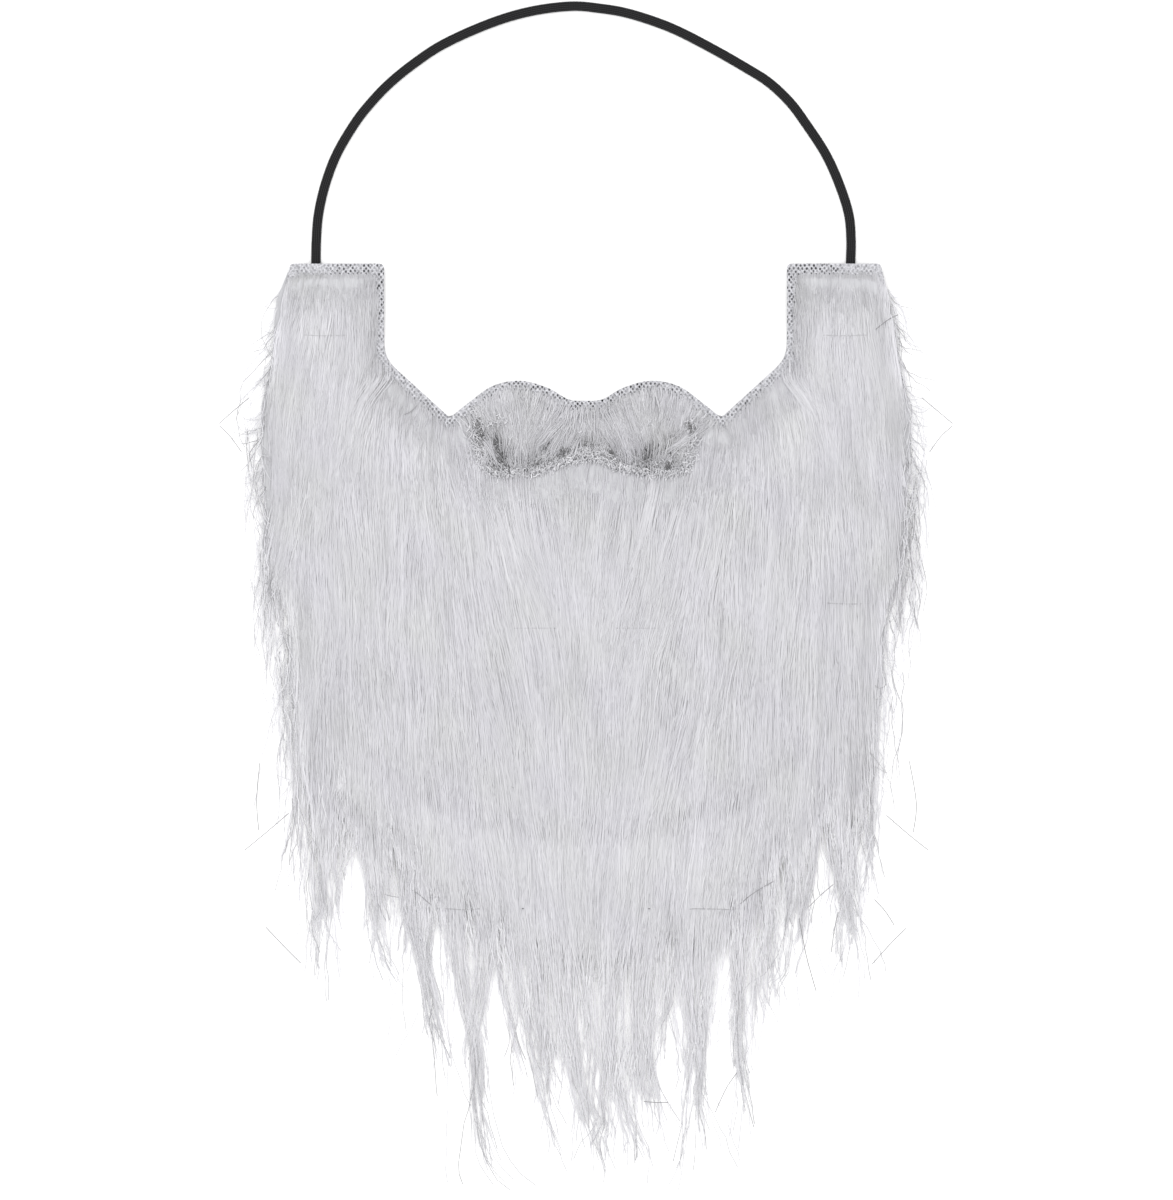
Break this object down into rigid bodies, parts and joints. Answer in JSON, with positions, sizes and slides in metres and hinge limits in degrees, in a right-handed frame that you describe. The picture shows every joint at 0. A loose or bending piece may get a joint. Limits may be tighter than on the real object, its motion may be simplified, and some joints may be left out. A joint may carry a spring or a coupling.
{
  "type": "fake beard",
  "caption": "Long white fur-cloth beard with moustache, side tabs, an open mouth slot and a flat elastic head loop, lying flat with its hair side up.",
  "frame": {"origin": "under the middle of the beard, without its elastic, on the surface that it lies on", "axes": "+X across the face, +Y up the beard towards the elastic, +Z out of the hair side"},
  "size_m": [0.2746, 0.4822, 0.0131],
  "materials": {
    "knit_cloth": "matt warp knit with small open meshes",
    "white_hair": "long straight synthetic pile with a soft sheen",
    "black_elastic": "matt braided flat elastic"
  },
  "bodies": {
    "root": {"backing": "knit_cloth", "beard_hair": "white_hair", "moustache_hair": "white_hair", "elastic_band": "black_elastic"}
  },
  "joints": []
}
